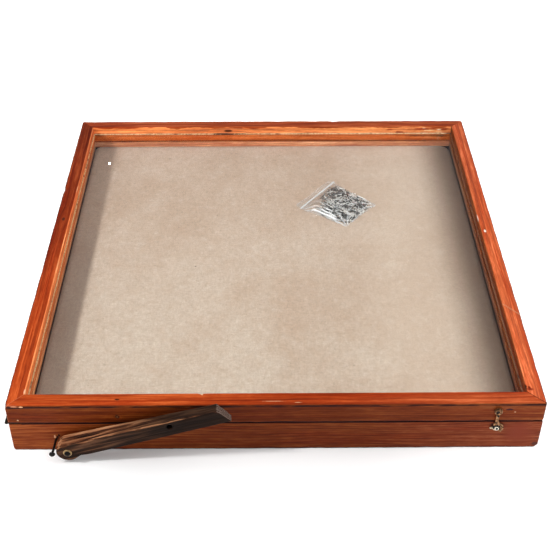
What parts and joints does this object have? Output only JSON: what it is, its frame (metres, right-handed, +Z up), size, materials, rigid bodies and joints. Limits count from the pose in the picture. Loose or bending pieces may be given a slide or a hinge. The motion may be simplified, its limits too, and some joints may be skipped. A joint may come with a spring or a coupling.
{
  "type": "glazed specimen display case",
  "caption": "Shallow wooden specimen case with a glazed hinged lid, linen-lined pinning board, swinging stay, hook latch and a zip bag of loose pins.",
  "frame": {"origin": "centre of the underside, on the surface that the case rests on", "axes": "+X to the right along the front, away from the hinged edge; +Y from the front to the back; +Z up, out of the glass"},
  "size_m": [0.6043, 0.6458, 0.0824],
  "materials": {
    "stained_pine": "red-brown stained and waxed softwood, worn at the edges",
    "weathered_wood": "dark old wood with open grain, unfinished",
    "plywood": "bare plywood",
    "softboard": "soft fibreboard that takes pins",
    "linen": "plain woven natural linen, faded in patches",
    "clear_glass": "clear window glass",
    "putty": "dried linseed putty",
    "aged_brass": "dull aged brass",
    "black_steel": "blackened steel",
    "hinge_steel": "dark tarnished steel",
    "clear_film": "clear polythene film, crinkled",
    "bright_steel": "bright steel pins"
  },
  "bodies": {
    "box": {"box_wall_front": "stained_pine", "box_wall_right": "stained_pine", "box_wall_back": "stained_pine", "box_wall_left": "stained_pine", "base_board": "plywood", "pinning_board": "softboard", "linen_lining": "linen", "hinge_leaf_box": "hinge_steel", "hinge_pin": "hinge_steel", "stay_screw": "black_steel", "stay_spacer": "aged_brass", "stop_nail": "black_steel", "catch_plate": "aged_brass", "catch_post": "aged_brass", "zip_bag": "clear_film"},
    "lid": {"lid_rail_front": "stained_pine", "lid_rail_right": "stained_pine", "lid_rail_back": "stained_pine", "lid_rail_left": "stained_pine", "glass_pane": "clear_glass", "glass_bead_front": "stained_pine", "glass_bead_right": "stained_pine", "glass_bead_back": "stained_pine", "glass_bead_left": "stained_pine", "putty_line_front": "putty", "putty_line_right": "putty", "putty_line_back": "putty", "putty_line_left": "putty", "hinge_leaf_lid": "hinge_steel", "hook_spacer": "aged_brass", "hook_screw": "black_steel"},
    "stay": {"stay_arm": "weathered_wood", "stay_cup_washer": "aged_brass"},
    "hook": {"hook": "aged_brass", "hook_washer": "aged_brass"}
  },
  "joints": [
    {"name": "lid_hinge", "type": "hinge", "parent": "box", "child": "lid", "pos_m": [-0.3023, 0, 0.0433], "axis": [0, -1, 0], "range_deg": [0, 180]},
    {"name": "stay_swivel", "type": "hinge", "parent": "box", "child": "stay", "pos_m": [-0.2338, -0.314, 0.0175], "axis": [0, -1, 0], "range_deg": [-17, 110]},
    {"name": "hook_swivel", "type": "hinge", "parent": "lid", "child": "hook", "pos_m": [0.2468, -0.3125, 0.0609], "axis": [0, -1, 0], "range_deg": [0, 110]}
  ]
}
